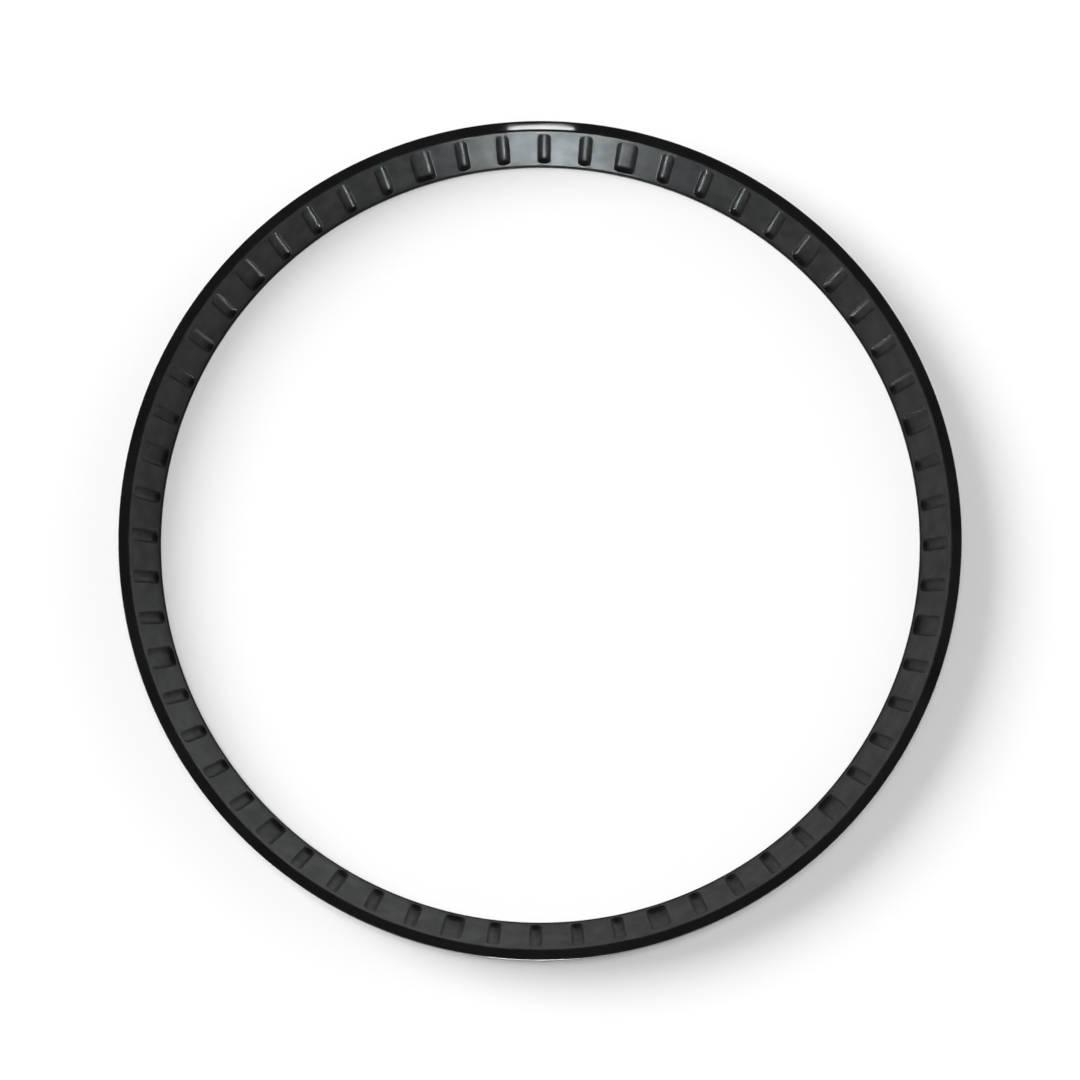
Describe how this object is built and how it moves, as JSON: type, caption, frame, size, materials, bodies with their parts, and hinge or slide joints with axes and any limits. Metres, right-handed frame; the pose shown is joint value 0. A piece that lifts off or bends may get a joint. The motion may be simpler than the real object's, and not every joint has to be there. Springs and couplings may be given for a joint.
{
  "type": "watch chapter ring",
  "caption": "Slanted wristwatch chapter ring with a flat rim, plain minute grooves and wider hour grooves in its inner wall, and a locating notch in its foot.",
  "frame": {"origin": "centre of the ring's round opening, in the plane of the foot that rests on the dial", "axes": "+Z along the ring's axis, away from the dial towards the crystal; +Y towards the 12 o'clock hour groove; +X towards 3 o'clock"},
  "size_m": [0.0308, 0.0308, 0.002],
  "materials": {
    "black_plated_metal": "black plated metal, satin blasted slanted wall, polished flat rim"
  },
  "bodies": {
    "root": {"chapter_ring": "black_plated_metal"}
  },
  "joints": []
}
